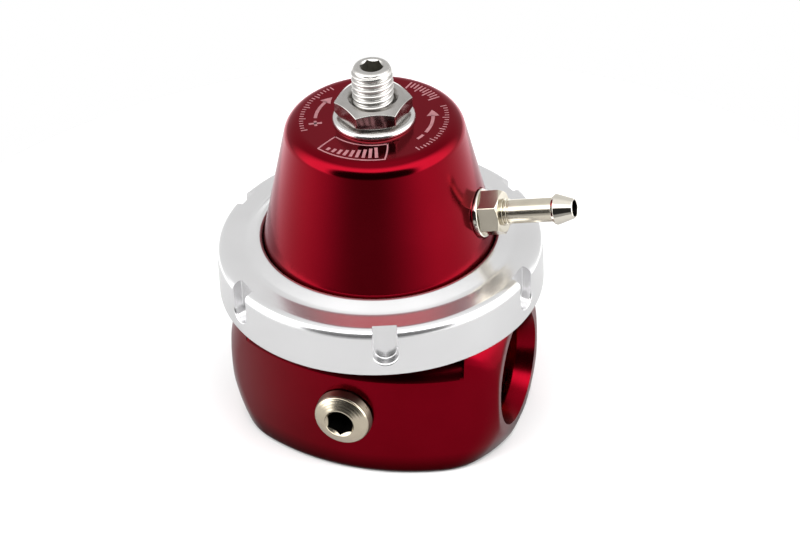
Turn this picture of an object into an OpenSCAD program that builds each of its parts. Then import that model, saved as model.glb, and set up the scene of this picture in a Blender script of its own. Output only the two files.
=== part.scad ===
// Diaphragm fuel pressure regulator: ball-shaped base with two side ports and a
// bottom return port, notched clamp ring, conical bonnet with a screw adjuster
// and a hose barb. Millimetres, +Z up the regulator's axis, origin at the centre
// of the return port on the bottom face, +X along the right-hand side port.

/* [Base] */
// Radius of the ball that the base is turned to
ball_r = 31.2; // [31:0.1:31.6]
// Height of the side ports and gauge port above the bottom
port_z = 13.9; // [13.7:0.1:14.2]
// Distance of the flat side-port faces from the axis
flat_x = 28.1; // [27.8:0.1:28.2]
// Distance of the front and back faces from the axis
face_d = 23.6; // [23:0.1:25]
// Plan radius of the bowed front and back faces
face_r = 44; // [40:1:60]
// Rounding at the foot of the front and back faces
foot_round = 1.2; // [1:0.1:4]
// Height where the front and back start to roll in below the ring
relief_z = 22.3; // [21.8:0.1:22.6]
// Radius of that roll
relief_round = 4; // [3:0.1:4]
// Width of that relief
relief_w = 45.2; // [40:0.1:46]
// Major radius of the side-port thread (7/8-14)
side_port_r = 11.11; // [10.5:0.01:11.2]
// Depth of the side ports, where the drilling stops short of the centre post
side_port_depth = 16.5; // [15:0.1:16.5]
// Major radius of the return-port thread (9/16-18)
return_port_r = 7.14; // [6:0.01:7.2]
// Depth of the return-port thread
return_port_depth = 13; // [11:0.5:13.5]
// Distance between the two bracket holes in the bottom
bracket_pitch = 26; // [24:1:28]
// Major radius of the bracket-hole thread (M5)
bracket_hole_r = 2.5; // [2:0.1:3]

/* [Clamp ring] */
// Height of the ring's lower rim above the bottom
ring_z = 30.5; // [30:0.1:30.8]
// Outer radius of the ring
ring_r = 32.1; // [32:0.1:33]
// Height of the flat shelf on top of the ring
ring_shelf_h = 10.2; // [10:0.1:10.5]
// Height of the inner lip
ring_lip_h = 11.8; // [11.5:0.1:12]
// Radius of the hole in the lip
ring_lip_r = 23.45; // [23.45:0.05:24]
// Number of spanner notches
notch_count = 6; // [4:1:8]
// Width of a spanner notch
notch_w = 5.3; // [4:0.1:6]
// Depth of a spanner notch
notch_depth = 2.2; // [1.5:0.1:2.4]
// Direction of the first notch, in degrees from +X
notch_turn = -69.5; // [-90:0.5:90]

/* [Bonnet] */
// Radius of the cone where it comes out of the ring
cone_r1 = 22.68; // [22:0.01:22.8]
// Radius of the cone at its top corner, before rounding
cone_r2 = 16.9; // [16:0.1:18]
// Height of the bonnet's flat top above the ring's lower rim
cone_h = 37.4; // [36:0.1:39]
// Rounding of the bonnet's top edge
top_round = 3.3; // [2:0.1:4]
// Clocking of the bonnet, in degrees from +X
bonnet_turn = 2.3; // [-20:0.1:20]

/* [Adjuster] */
// Thread radius of the adjusting screw (M8)
screw_r = 4; // [3.5:0.1:4]
// Height of the screw's end above the bonnet top
screw_out = 11.8; // [10:0.1:13]
// Key size of the screw's hexagon socket
screw_key = 4; // [3:0.5:4]
// Width across flats of the jam nut
nut_af = 13; // [12:0.5:14]
// Height of the jam nut
nut_h = 4; // [3.5:0.1:5]
// Direction of one corner of the jam nut, in degrees from +X
nut_turn = 23.2; // [0:0.1:60]
// Outer radius of the washer under the jam nut
washer_r = 8; // [7.5:0.1:9]
// Thickness of that washer
washer_t = 1.1; // [0.8:0.1:1.6]

/* [Vacuum barb] */
// Height of the barb's axis on the cone, above the ring's lower rim
barb_h = 18.8; // [17:0.1:22]
// Radius of the barb's tube
barb_tube_r = 2.35; // [2.1:0.05:2.6]
// Radius of the barb's crest
barb_crest_r = 3.05; // [2.8:0.05:3.4]
// Radius of the bore through the barb
barb_bore_r = 1.58; // [1:0.01:1.7]
// Width across flats of the barb's hexagon
barb_af = 8; // [7:0.5:9]

/* [Gauge-port plug] */
// How far the plug stands out of the front face
plug_out = 3.5; // [3:0.1:4]
// Radius of the plug's taper thread at its outer end (1/8 taper thread)
plug_r = 5.25; // [5:0.01:5.4]
// Radius of the plug's low domed head
plug_head_r = 5.8; // [5.6:0.1:6.2]
// Key size of the plug's hexagon socket
plug_key = 4.8; // [4:0.1:5]

/* [Inside] */
// Wire radius of the main spring
spring_wire_r = 1.2; // [1:0.05:1.3]
// Mean radius of the main spring
spring_r = 10.7; // [10.5:0.1:11]
// Thickness of the diaphragm
diaphragm_t = 0.9; // [0.7:0.05:1]

/* [Hidden] */
$fn = 96;

red = [0.50, 0.03, 0.06];
silver = [0.86, 0.87, 0.88];
steel = [0.72, 0.72, 0.71];
nickel = [0.80, 0.77, 0.70];
brass = [0.75, 0.60, 0.30];
black = [0.08, 0.08, 0.08];

spigot_r = 28.2;                      // threaded neck that the ring screws onto
base_top = ring_z + 5.2;
ball_top = port_z + sqrt(ball_r*ball_r - spigot_r*spigot_r);
flange_z = base_top + diaphragm_t;    // underside of the bonnet's flange
flange_top = ring_z + 8.7;            // underside of the ring's lip
cone_z = ring_z + ring_lip_h;
cone_top = ring_z + cone_h;
cone_slope = (cone_r1 - cone_r2)/(cone_top - cone_z);
cone_tilt = atan(cone_slope);
function cone_r(z) = cone_r1 - cone_slope*(z - cone_z);

roof_under = cone_top - 5.4;
boss_z = cone_top - 6.8;
post_r = 11.5;                        // centre post that carries the valve seat
post_top = 24.5;
groove_r = 17.5;                      // fuel gallery round the post
groove_z = 22;
chamber_r = 21.5;
chamber_z = 31;
relief_r = 20.3;                      // bottom of the relief below the ring
// lean of the ring's lip, following the cone
lip_lean = 0.45;
relief_top = ring_z - 1.3;

seat_top = 57;                        // upper spring seat
seat_low = 54.5;
nose_z = 55.5;
plate_top = flange_z + 2;
lift_z = 27.2;                        // where valve ball and valve seat meet
ball_cz = lift_z + 3.2;
ball_valve_r = 4.5;

barb_z = ring_z + barb_h;
barb_r0 = cone_r(barb_z) - 0.6;       // the washer sits in a 0.6 mm spot face

nut_z = cone_top + washer_t;
screw_top = cone_top + screw_out;
plug_len = 10;
plug_y = -face_d - plug_out;

// points of an arc about [x, y], from angle a0 to a1
function arc(x, y, r, a0, a1, n) =
    [for (i = [0:n]) [x + r*cos(a0 + (a1 - a0)*i/n), y + r*sin(a0 + (a1 - a0)*i/n)]];

// solid of revolution of a list of [radius, height] points
module turned(pts) { rotate_extrude() polygon(pts); }

// hexagonal prism with its corners trimmed at both ends by a 30 degree cone
module hex_prism(af, h, trim_low = true, trim_high = true) {
    rc = af/sqrt(3);
    c = (rc - af/2*0.97)*tan(30);
    intersection() {
        cylinder(r = rc, h = h, $fn = 6);
        turned([[0, 0], [trim_low ? af/2*0.97 : rc + 1, 0], [rc + 1, trim_low ? c + tan(30) : 0],
                [rc + 1, trim_high ? h - c - tan(30) : h],
                [trim_high ? af/2*0.97 : rc + 1, h], [0, h]]);
    }
}

// frame of the barb: origin on its washer seat, +Z outward along the barb
module on_barb() {
    rotate([0, 0, bonnet_turn])
        translate([barb_r0, 0, barb_z - 0.6*sin(cone_tilt)])
            rotate([0, 90 - cone_tilt, 0]) children();
}

// vertical wall bowed to face_r, rounded at its foot
module bowed_wall(s) {
    translate([0, s*(face_r - face_d), 0])
        turned(concat([[0, 0]], arc(face_r - foot_round, foot_round, foot_round, -90, 0, 8), [[face_r, ball_top + 1], [0, ball_top + 1]]));
}

module base_form() {
    bottom_r = sqrt(ball_r*ball_r - port_z*port_z);
    intersection() {
        translate([0, 0, port_z]) sphere(r = ball_r);
        translate([-flat_x, -40, 0]) cube([2*flat_x, 80, ball_top]);
        bowed_wall(1);
        bowed_wall(-1);
        cylinder(r1 = bottom_r - 0.6, r2 = bottom_r - 0.6 + ball_top*1.4, h = ball_top);
    }
    // neck: runout, relief and thread, up to the diaphragm seat
    turned([[0, ball_top - 0.5], [spigot_r, ball_top - 0.5], [spigot_r, ball_top + 0.6], [spigot_r - 0.9, ball_top + 1.5],
            [spigot_r - 0.9, ring_z - 0.9], [spigot_r, ring_z], [spigot_r, base_top - 0.5],
            [spigot_r - 0.5, base_top], [0, base_top]]);
}

module base_body() {
    color(red) difference() {
        base_form();
        // diaphragm chamber and fuel gallery round the centre post
        translate([0, 0, chamber_z]) cylinder(r = chamber_r, h = 20);
        turned([[post_r, groove_z], [groove_r, groove_z], [groove_r, chamber_z + 1], [0, chamber_z + 1], [0, post_top], [post_r, post_top]]);
        // side ports
        for (s = [-1, 1]) translate([s*flat_x, 0, port_z]) rotate([0, -s*90, 0]) {
            translate([0, 0, -1]) cylinder(r = side_port_r, h = side_port_depth + 1);
            translate([0, 0, -0.01]) cylinder(r1 = side_port_r + 0.41, r2 = side_port_r, h = 0.41);
        }
        // return port, passage and valve-seat thread
        translate([0, 0, -1]) cylinder(r = return_port_r, h = return_port_depth + 1);
        translate([0, 0, return_port_depth - 0.01]) cylinder(r1 = return_port_r, r2 = 3.6, h = 2);
        cylinder(r = 3.6, h = 20);
        translate([0, 0, 16.5]) cylinder(r = 5, h = 20);
        // gland for the valve-seat O-ring
        translate([0, 0, post_top - 1.2]) difference() {
            cylinder(r = 6.9, h = 5);
            translate([0, 0, -1]) cylinder(r = 5.2, h = 7);
        }
        // gauge port: taper thread and a drilling up into the gallery
        translate([0, -face_d, port_z]) rotate([-90, 0, 0]) {
            translate([0, 0, -2]) cylinder(r1 = plug_r + 0.01, r2 = plug_r + 0.01 - 12/32, h = 12);
        }
        translate([0, -14.6, port_z]) cylinder(r = 1.5, h = 12);
        // relief below the ring, front and back
        for (s = [-1, 1]) difference() {
            translate([-relief_w/2, s > 0 ? 10 : -40, relief_z]) cube([relief_w, 30, relief_top - relief_z]);
            translate([0, 0, relief_z - 1]) cylinder(r = relief_r, h = 12);
            translate([0, -s*(face_r - face_d), 0])
                turned(concat([[0, relief_z - 1], [face_r + 0.3, relief_z - 1]],
                    arc(face_r - relief_round*cos(8), relief_z - relief_round*sin(8), relief_round, 4, 90, 10),
                    [[0, relief_z + relief_round*(1 - sin(8))]]));
        }
        // bracket holes
        for (s = [-1, 1]) translate([s*bracket_pitch/2, 15.5, -1]) cylinder(r = bracket_hole_r, h = 10);
    }
}

module clamp_ring() {
    ro = ring_r;
    sh = ring_shelf_h;
    lip = ring_lip_h;
    rin = spigot_r + 0.05;
    color(silver) translate([0, 0, ring_z]) difference() {
        turned(concat(
            [[rin + 0.5, 0], [ro - 0.35, 0], [ro, 0.35]],
            arc(ro - 1.8, sh - 1.8, 1.8, 0, 90, 8),
            [[27.1, sh]],
            arc(27.1, sh + 2.2, 2.2, 270, 238, 5),
            arc(ring_lip_r + 0.8 - lip_lean, lip - 0.8, 0.8, 58, 180, 7),
            [[ring_lip_r, flange_top - ring_z], [rin, flange_top - ring_z], [rin, 0.5]]));
        for (i = [0:notch_count - 1]) rotate([0, 0, notch_turn + 360/notch_count*i]) {
            translate([ro - notch_depth, -notch_w/2, 2.3 + notch_w/2]) cube([10, notch_w, 20]);
            translate([ro - notch_depth, 0, 2.3 + notch_w/2]) rotate([0, 90, 0]) cylinder(r = notch_w/2, h = 10);
        }
    }
}

module bonnet() {
    rt = cone_r2 - top_round*tan(45 - cone_tilt/2);
    color(red) difference() {
        turned(concat(
            [[0, flange_z], [spigot_r - 0.4, flange_z], [spigot_r - 0.2, flange_z + 0.2], [spigot_r - 0.2, flange_top],
             [cone_r(flange_top), flange_top]],
            arc(rt, cone_top - top_round, top_round, cone_tilt, 90, 10),
            [[0, cone_top]]));
        // spring chamber, stepped in round the screw boss
        turned([[0, flange_z - 1], [chamber_r - 0.2, flange_z - 1], [chamber_r - 0.2, flange_z + 2.8], [18.8, flange_z + 5.9],
                [13.6, roof_under], [7.5, roof_under], [7.5, boss_z], [0, boss_z]]);
        // screw thread, and the countersink that holds the O-ring
        cylinder(r = screw_r + 0.05, h = 100);
        translate([0, 0, cone_top - 1.3]) cylinder(r = 5.65, h = 5);
        // spot face and thread for the barb
        on_barb() {
            cylinder(r = 5.1, h = 10);
            translate([0, 0, -12]) cylinder(r = 2.5, h = 13);
        }
    }
}

module adjusting_screw() {
    color(steel) difference() {
        turned([[0, nose_z], [2.2, nose_z], [2.6, nose_z + 0.4], [2.6, nose_z + 2.6], [screw_r - 0.6, nose_z + 2.6], [screw_r, nose_z + 3.2],
                [screw_r, screw_top - 0.9], [screw_r - 0.35, screw_top - 0.25], [screw_r - 0.9, screw_top], [0, screw_top]]);
        translate([0, 0, screw_top - 5]) rotate([0, 0, 12]) cylinder(r = screw_key/sqrt(3), h = 6, $fn = 6);
    }
}

module jam_nut() {
    color(steel) difference() {
        translate([0, 0, nut_z]) rotate([0, 0, nut_turn]) hex_prism(nut_af, nut_h);
        translate([0, 0, nut_z - 1]) cylinder(r = screw_r + 0.05, h = nut_h + 2);
        translate([0, 0, nut_z + nut_h - 0.55]) cylinder(r1 = screw_r, r2 = screw_r + 0.7, h = 0.7);
        translate([0, 0, nut_z - 0.15]) cylinder(r1 = screw_r + 0.7, r2 = screw_r, h = 0.7);
    }
}

module nut_washer() {
    color(steel) translate([0, 0, cone_top]) turned([[screw_r + 0.2, 0], [washer_r - 0.15, 0], [washer_r, 0.15],
        [washer_r, washer_t - 0.2], [washer_r - 0.2, washer_t], [screw_r + 0.2, washer_t]]);
}

module screw_o_ring() {
    color(black) translate([0, 0, cone_top - 0.7]) rotate_extrude() translate([4.83, 0]) circle(r = 0.6, $fn = 32);
}

module upper_spring_seat() {
    color(steel) difference() {
        turned([[0, seat_low - 1.6], [8.6, seat_low - 1.6], [9, seat_low - 1.2], [9, seat_low], [12.5, seat_low],
                [12.5, seat_top - 0.6], [11.9, seat_top], [0, seat_top]]);
        translate([0, 0, nose_z - 0.02]) cylinder(r = 2.75, h = 5);
    }
}

// height of the spring wire's centre after t turns: close at both ends, open between
spring_h = seat_low - plate_top;
spring_end = 0.8;
spring_close = 2*spring_wire_r + 0.1;
spring_active = 2;
spring_pitch = (spring_h - 2*spring_wire_r - 0.06 - 2*spring_end*spring_close)/spring_active;
function spring_z(t) =
    t < spring_end ? t*spring_close :
    t < spring_end + spring_active ? spring_end*spring_close + (t - spring_end)*spring_pitch :
    spring_end*spring_close + spring_active*spring_pitch + (t - spring_end - spring_active)*spring_close;

module main_spring() {
    turns = 2*spring_end + spring_active;
    n = 86;
    m = 10;
    pts = [for (i = [0:n]) let (t = turns*i/n, a = 360*t, z = plate_top + spring_wire_r + 0.03 + spring_z(t))
           for (j = [0:m - 1]) let (b = 360*j/m, r = spring_r + spring_wire_r*cos(b))
           [r*cos(a), r*sin(a), z + spring_wire_r*sin(b)]];
    faces = concat(
        [[for (j = [0:m - 1]) j]],
        [for (i = [0:n - 1]) for (j = [0:m - 1]) [i*m + j, (i + 1)*m + j, (i + 1)*m + (j + 1)%m]],
        [for (i = [0:n - 1]) for (j = [0:m - 1]) [i*m + j, (i + 1)*m + (j + 1)%m, i*m + (j + 1)%m]],
        [[for (j = [m - 1:-1:0]) n*m + j]]);
    color([0.35, 0.36, 0.38]) polyhedron(points = pts, faces = faces, convexity = 8);
}

module diaphragm_plate() {
    color(silver) difference() {
        turned([[0, flange_z], [15.5, flange_z], [16.3, flange_z + 0.8], [16.3, plate_top], [9, plate_top], [9, plate_top + 1.2],
                [8.6, plate_top + 1.6], [0, plate_top + 1.6]]);
        cylinder(r = 3, h = 100);
    }
}

module diaphragm() {
    rm = 19;
    ri = 1.5;
    t = diaphragm_t;
    color(black) translate([0, 0, base_top]) rotate_extrude() polygon(concat(
        [[3, 0], [rm - ri - 0.1, 0]],
        arc(rm, 0.1, ri, 180, 0, 10),
        [[rm + ri + 0.1, 0], [spigot_r - 0.6, 0], [spigot_r - 0.6, t], [rm + ri + t, t]],
        arc(rm, 0.1 + t*0.4, ri + t*0.75, 8, 172, 10),
        [[rm - ri - t, t], [3, t]]));
}

module valve_carrier() {
    low = lift_z + 1;
    color(silver) difference() {
        turned([[0, low], [6.4, low], [6.9, low + 0.5], [6.9, base_top - 1.5], [15.4, base_top - 1.5], [15.9, base_top - 1],
                [15.9, base_top], [3, base_top], [3, 45], [2.5, 45.5], [0, 45.5]]);
        translate([0, 0, ball_cz]) sphere(r = ball_valve_r + 0.03);
        translate([0, 0, low - 1]) cylinder(r = ball_valve_r + 0.03, h = ball_cz - low + 1);
        translate([0, 0, low - 1]) cylinder(r = 5.6, h = 1.8);
    }
}

module stem_washer() {
    color(steel) translate([0, 0, plate_top + 1.6]) difference() {
        turned([[0, 0], [6, 0], [6, 0.8], [5.8, 1], [0, 1]]);
        translate([0, 0, -1]) cylinder(r = 3, h = 5);
    }
}

module stem_nut() {
    color(steel) translate([0, 0, plate_top + 2.6]) difference() {
        hex_prism(10, 3.6);
        translate([0, 0, -1]) cylinder(r = 3, h = 8);
    }
}

module valve_ball() {
    color(steel) intersection() {
        translate([0, 0, ball_cz]) sphere(r = ball_valve_r);
        translate([-10, -10, lift_z]) cube([20, 20, 20]);
    }
}

module ball_retainer() {
    color(steel) translate([0, 0, lift_z + 1]) difference() {
        cylinder(r = 5.6, h = 0.8);
        translate([0, 0, -0.001]) cylinder(r1 = 3.97, r2 = 4.38, h = 0.802);
    }
}

module valve_seat() {
    color(brass) difference() {
        union() {
            turned([[0, 17], [4.6, 17], [5, 17.4], [5, post_top], [7.2, post_top], [7.2, post_top + 0.2], [0, post_top + 0.2]]);
            translate([0, 0, post_top]) hex_prism(12.6, 1.9, false, true);
            translate([0, 0, post_top]) cylinder(r = 3.9, h = lift_z - post_top);
        }
        cylinder(r = 2.6, h = 60);
    }
}

module seat_o_ring() {
    color(black) translate([0, 0, post_top - 0.6]) rotate_extrude() translate([6.05, 0]) circle(r = 0.6, $fn = 32);
}

module vacuum_barb() {
    h0 = 1.1;             // on top of its washer
    h1 = h0 + 4.0;        // hexagon
    h2 = h1 + 1.3;        // relief grooves
    h3 = 15.0;            // tube ends
    h4 = 19.4;            // tip
    color(nickel) on_barb() difference() {
        union() {
            translate([0, 0, h0]) rotate([0, 0, 45]) hex_prism(barb_af, h1 - h0, false, true);
            turned([[0, -3.4], [2.2, -3.4], [2.5, -3.1], [2.5, h0 + 0.5], [0, h0 + 0.5]]);
            turned([[0, h1 - 0.5], [2.6, h1 - 0.5], [2.6, h1 + 0.3], [2.15, h1 + 0.45], [2.15, h1 + 0.75], [2.5, h1 + 0.85], [2.5, h1 + 1.15], [2.2, h2],
                    [barb_tube_r, h2 + 0.25], [barb_tube_r, h3], [barb_crest_r - 0.12, h3 + 0.75], [barb_crest_r, h3 + 1],
                    [barb_crest_r - 0.06, h3 + 1.3], [1.95, h4 - 0.12], [1.83, h4], [0, h4]]);
        }
        translate([0, 0, -10]) cylinder(r = barb_bore_r, h = 50);
        translate([0, 0, h4 - 0.1]) cylinder(r1 = barb_bore_r, r2 = barb_bore_r + 0.12, h = 0.12);
    }
}

module barb_washer() {
    color(nickel) on_barb() difference() {
        turned([[0, 0], [4.55, 0], [4.75, 0.2], [4.75, 0.9], [4.55, 1.1], [0, 1.1]]);
        translate([0, 0, -1]) cylinder(r = 2.55, h = 5);
    }
}

module gauge_port_plug() {
    color(nickel) translate([0, plug_y, port_z]) rotate([-90, 0, 0]) difference() {
        turned([[0, 0], [3.3, 0], [plug_head_r - 1.2, 0.5], [plug_head_r - 0.55, 0.78], [plug_head_r - 0.34, 1.0], [plug_head_r - 0.22, 1.4],
                [plug_head_r, plug_out - 0.25], [plug_head_r - 0.1, plug_out - 0.15],
                [plug_r - 0.1 - plug_out/32, plug_out - 0.15], [plug_r - 0.1 - plug_len/32, plug_len - 0.6],
                [plug_r - 0.8 - plug_len/32, plug_len], [0, plug_len]]);
        translate([0, 0, -1]) rotate([0, 0, 30]) cylinder(r = plug_key/sqrt(3), h = 5.8, $fn = 6);
        translate([0, 0, -0.01]) cylinder(r1 = plug_key/sqrt(3) + 0.15, r2 = plug_key/2 - 0.1, h = 0.5);
    }
}

base_body();
clamp_ring();
bonnet();
adjusting_screw();
jam_nut();
nut_washer();
screw_o_ring();
upper_spring_seat();
main_spring();
diaphragm_plate();
diaphragm();
valve_carrier();
stem_washer();
stem_nut();
valve_ball();
ball_retainer();
valve_seat();
seat_o_ring();
vacuum_barb();
barb_washer();
gauge_port_plug();
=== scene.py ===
import math

import bmesh
import bpy
import numpy as np
from mathutils import Matrix, Vector


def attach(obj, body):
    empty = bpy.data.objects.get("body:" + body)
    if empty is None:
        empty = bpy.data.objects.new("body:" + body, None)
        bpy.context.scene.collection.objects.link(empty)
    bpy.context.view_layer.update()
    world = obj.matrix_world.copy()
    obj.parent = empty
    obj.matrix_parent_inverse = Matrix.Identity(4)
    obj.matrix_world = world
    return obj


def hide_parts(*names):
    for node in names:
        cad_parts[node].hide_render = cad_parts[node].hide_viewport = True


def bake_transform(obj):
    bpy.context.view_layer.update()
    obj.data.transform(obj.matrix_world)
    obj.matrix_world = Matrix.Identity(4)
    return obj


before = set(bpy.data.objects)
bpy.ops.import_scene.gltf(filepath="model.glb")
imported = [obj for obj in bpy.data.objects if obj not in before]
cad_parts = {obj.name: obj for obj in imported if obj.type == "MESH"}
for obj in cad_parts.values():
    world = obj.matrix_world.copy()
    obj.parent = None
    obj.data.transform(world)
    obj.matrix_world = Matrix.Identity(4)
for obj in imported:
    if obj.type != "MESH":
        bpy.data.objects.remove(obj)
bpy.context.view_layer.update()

# All shapes are made in millimetres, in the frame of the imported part, and scaled to metres at the end.
TAU = 2 * math.pi


# ---------------------------------------------------------------- mesh tools

def new_object(name, verts, faces):
    me = bpy.data.meshes.new(name)
    me.from_pydata(np.asarray(verts, float).tolist(), [], [tuple(int(i) for i in f) for f in faces])
    me.update()
    ob = bpy.data.objects.new(name, me)
    bpy.context.scene.collection.objects.link(ob)
    return ob


def tidy(ob, dist=1e-5):
    """weld the seams and turn every face outward"""
    bm = bmesh.new()
    bm.from_mesh(ob.data)
    bmesh.ops.remove_doubles(bm, verts=bm.verts, dist=dist)
    bmesh.ops.dissolve_degenerate(bm, edges=bm.edges, dist=dist)
    bmesh.ops.recalc_face_normals(bm, faces=bm.faces)
    if bm.calc_volume(signed=True) < 0:
        bmesh.ops.reverse_faces(bm, faces=bm.faces)
    bm.to_mesh(ob.data)
    bm.free()
    ob.data.update()
    return ob


def boolean(ob, other, how="DIFFERENCE"):
    m = ob.modifiers.new("cut", "BOOLEAN")
    m.operation = how
    m.object = other
    m.solver = "EXACT"
    graph = bpy.context.evaluated_depsgraph_get()
    me = bpy.data.meshes.new_from_object(ob.evaluated_get(graph))
    ob.modifiers.clear()
    old = ob.data
    ob.data = me
    me.name = ob.name
    bpy.data.meshes.remove(old)
    gone = other.data
    bpy.data.objects.remove(other)
    bpy.data.meshes.remove(gone)
    return ob


def join(ob, others):
    bm = bmesh.new()
    bm.from_mesh(ob.data)
    for o in others:
        bm.from_mesh(o.data)
    bm.to_mesh(ob.data)
    bm.free()
    for o in others:
        me = o.data
        bpy.data.objects.remove(o)
        bpy.data.meshes.remove(me)
    ob.data.update()
    return ob


def move(ob, matrix):
    ob.data.transform(matrix)
    ob.data.update()
    return ob


def rounded(corners, step=7.5, support=0.05):
    """closed outline from (r, z) or (r, z, fillet radius) corners"""
    c = [(p[0], p[1], p[2] if len(p) > 2 else 0.0) for p in corners]
    out = []
    for i, (x, y, f) in enumerate(c):
        q = np.array((x, y))
        if f <= 0:
            out.append(q)
            continue
        u = np.array(c[i - 1][:2]) - q
        v = np.array(c[(i + 1) % len(c)][:2]) - q
        lu, lv = np.linalg.norm(u), np.linalg.norm(v)
        u, v = u / lu, v / lv
        beta = math.acos(max(-1, min(1, float(u @ v))))
        d = f / math.tan(beta / 2)
        mid = q + (u + v) / np.linalg.norm(u + v) * (f / math.sin(beta / 2))
        a, b = q + u * d - mid, q + v * d - mid
        a0 = math.atan2(a[1], a[0])
        turn = (math.atan2(b[1], b[0]) - a0 + math.pi) % TAU - math.pi
        n = max(2, math.ceil(abs(math.degrees(turn)) / step))
        if d + support < lu * 0.6:
            out.append(q + u * (d + support))
        out += [mid + f * np.array((math.cos(a0 + turn * t / n), math.sin(a0 + turn * t / n))) for t in range(n + 1)]
        if d + support < lv * 0.6:
            out.append(q + v * (d + support))
    return np.array(out)


def arc(x, y, r, a0, a1, n):
    return [(x + r * math.cos(math.radians(a0 + (a1 - a0) * i / n)), y + r * math.sin(math.radians(a0 + (a1 - a0) * i / n)))
            for i in range(n + 1)]


def turned(name, outline, n=192, phase=0.0):
    """body of revolution of a closed outline of (radius, height) points"""
    o = np.asarray(outline, float)
    k = len(o)
    a = np.arange(n) * TAU / n + phase
    p = np.stack([np.outer(np.cos(a), o[:, 0]), np.outer(np.sin(a), o[:, 0]), np.tile(o[:, 1], (n, 1))], -1).reshape(-1, 3)
    f = []
    for i in range(n):
        j = (i + 1) % n
        for s in range(k):
            t = (s + 1) % k
            f.append((i * k + s, j * k + s, j * k + t, i * k + t))
    return tidy(new_object(name, p, f))


def corner_normals(me):
    out = np.zeros(len(me.loops) * 3)
    me.corner_normals.foreach_get("vector", out)
    return out.reshape(-1, 3)


def face_arrays(me):
    n = len(me.polygons)
    start, total, centre = np.zeros(n, int), np.zeros(n, int), np.zeros(n * 3)
    me.polygons.foreach_get("loop_start", start)
    me.polygons.foreach_get("loop_total", total)
    me.polygons.foreach_get("center", centre)
    loop_vert = np.zeros(len(me.loops), int)
    me.loops.foreach_get("vertex_index", loop_vert)
    co = np.zeros(len(me.vertices) * 3)
    me.vertices.foreach_get("co", co)
    loop_face = np.repeat(np.arange(n), total)
    return centre.reshape(-1, 3), co.reshape(-1, 3)[loop_vert], loop_face


def smooth(me, angle=30):
    me.polygons.foreach_set("use_smooth", [True] * len(me.polygons))
    me.set_sharp_from_angle(angle=math.radians(angle))
    me.update()


def turned_normals(ob, outline, angle=28, tol=0.03, frame_matrix=None):
    """exact shading normals on the faces that lie on the turned outline; the rest keep their own"""
    me = ob.data
    smooth(me, 30)
    nrm = corner_normals(me)
    centre, pos, lf = face_arrays(me)
    if frame_matrix is not None:
        inv = np.array(frame_matrix.inverted())
        centre = centre @ inv[:3, :3].T + inv[:3, 3]
        pos = pos @ inv[:3, :3].T + inv[:3, 3]
    a = np.asarray(outline, float)
    b = np.roll(a, -1, 0)
    area = np.sum(a[:, 0] * b[:, 1] - b[:, 0] * a[:, 1])
    d = b - a
    length = np.maximum(np.linalg.norm(d, axis=1), 1e-12)
    ns = np.stack([d[:, 1], -d[:, 0]], 1) / length[:, None] * (1 if area > 0 else -1)
    prev, nxt = np.roll(ns, 1, 0), np.roll(ns, -1, 0)
    lim = math.cos(math.radians(angle))
    na = np.where((np.sum(ns * prev, 1) > lim)[:, None], ns + prev, ns)
    nb = np.where((np.sum(ns * nxt, 1) > lim)[:, None], ns + nxt, ns)
    na /= np.linalg.norm(na, axis=1)[:, None]
    nb /= np.linalg.norm(nb, axis=1)[:, None]
    rz = np.stack([np.hypot(centre[:, 0], centre[:, 1]), centre[:, 2]], 1)
    seg = np.zeros(len(rz), int)
    best = np.full(len(rz), 1e9)
    for i in range(len(a)):
        t = np.clip(((rz - a[i]) @ d[i]) / length[i] ** 2, 0, 1)
        dist = np.linalg.norm(rz - a[i] - t[:, None] * d[i], axis=1)
        m = dist < best - 1e-9
        best[m], seg[m] = dist[m], i
    # a face belongs to the outline only if its own plane agrees with it
    me_n = np.zeros(len(me.polygons) * 3)
    me.polygons.foreach_get("normal", me_n)
    me_n = me_n.reshape(-1, 3)
    if frame_matrix is not None:
        me_n = me_n @ np.array(frame_matrix)[:3, :3]
    th = np.arctan2(centre[:, 1], centre[:, 0])
    want = np.stack([ns[seg, 0] * np.cos(th), ns[seg, 0] * np.sin(th), ns[seg, 1]], 1)
    on = (best < tol) & (np.sum(want * me_n, 1) > 0.9)
    use = on[lf]
    s = seg[lf]
    prz = np.stack([np.hypot(pos[:, 0], pos[:, 1]), pos[:, 2]], 1)
    t = np.clip(np.sum((prz - a[s]) * d[s], 1) / length[s] ** 2, 0, 1)[:, None]
    n2 = na[s] * (1 - t) + nb[s] * t
    n2 /= np.linalg.norm(n2, axis=1)[:, None]
    r = np.maximum(prz[:, 0], 1e-9)
    n3 = np.stack([n2[:, 0] * pos[:, 0] / r, n2[:, 0] * pos[:, 1] / r, n2[:, 1]], 1)
    if frame_matrix is not None:
        n3 = n3 @ np.array(frame_matrix)[:3, :3].T
    nrm[use] = n3[use]
    me.normals_split_custom_set(nrm.tolist())
    return ob


def finish_piece(ob, body, material, nodes=()):
    ob.data.transform(Matrix.Scale(0.001, 4))
    ob.data.materials.clear()
    ob.data.materials.append(material)
    ob.data.update()
    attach(ob, body)
    if nodes:
        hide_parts(*nodes)
    return ob


def second_material(ob, material, inside):
    """another material on the faces whose centres (mm) pass a test"""
    me = ob.data
    me.materials.append(material)
    index = np.zeros(len(me.polygons), dtype=np.int32)
    me.polygons.foreach_get("material_index", index)
    index[inside(face_arrays(me)[0] * 1000)] = len(me.materials) - 1
    me.polygons.foreach_set("material_index", index)
    me.update()
    return ob


def in_frame(matrix, p):
    inv = np.array(matrix.inverted())
    return p @ inv[:3, :3].T + inv[:3, 3]


# ---------------------------------------------------------------- threads and hexagons

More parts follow.
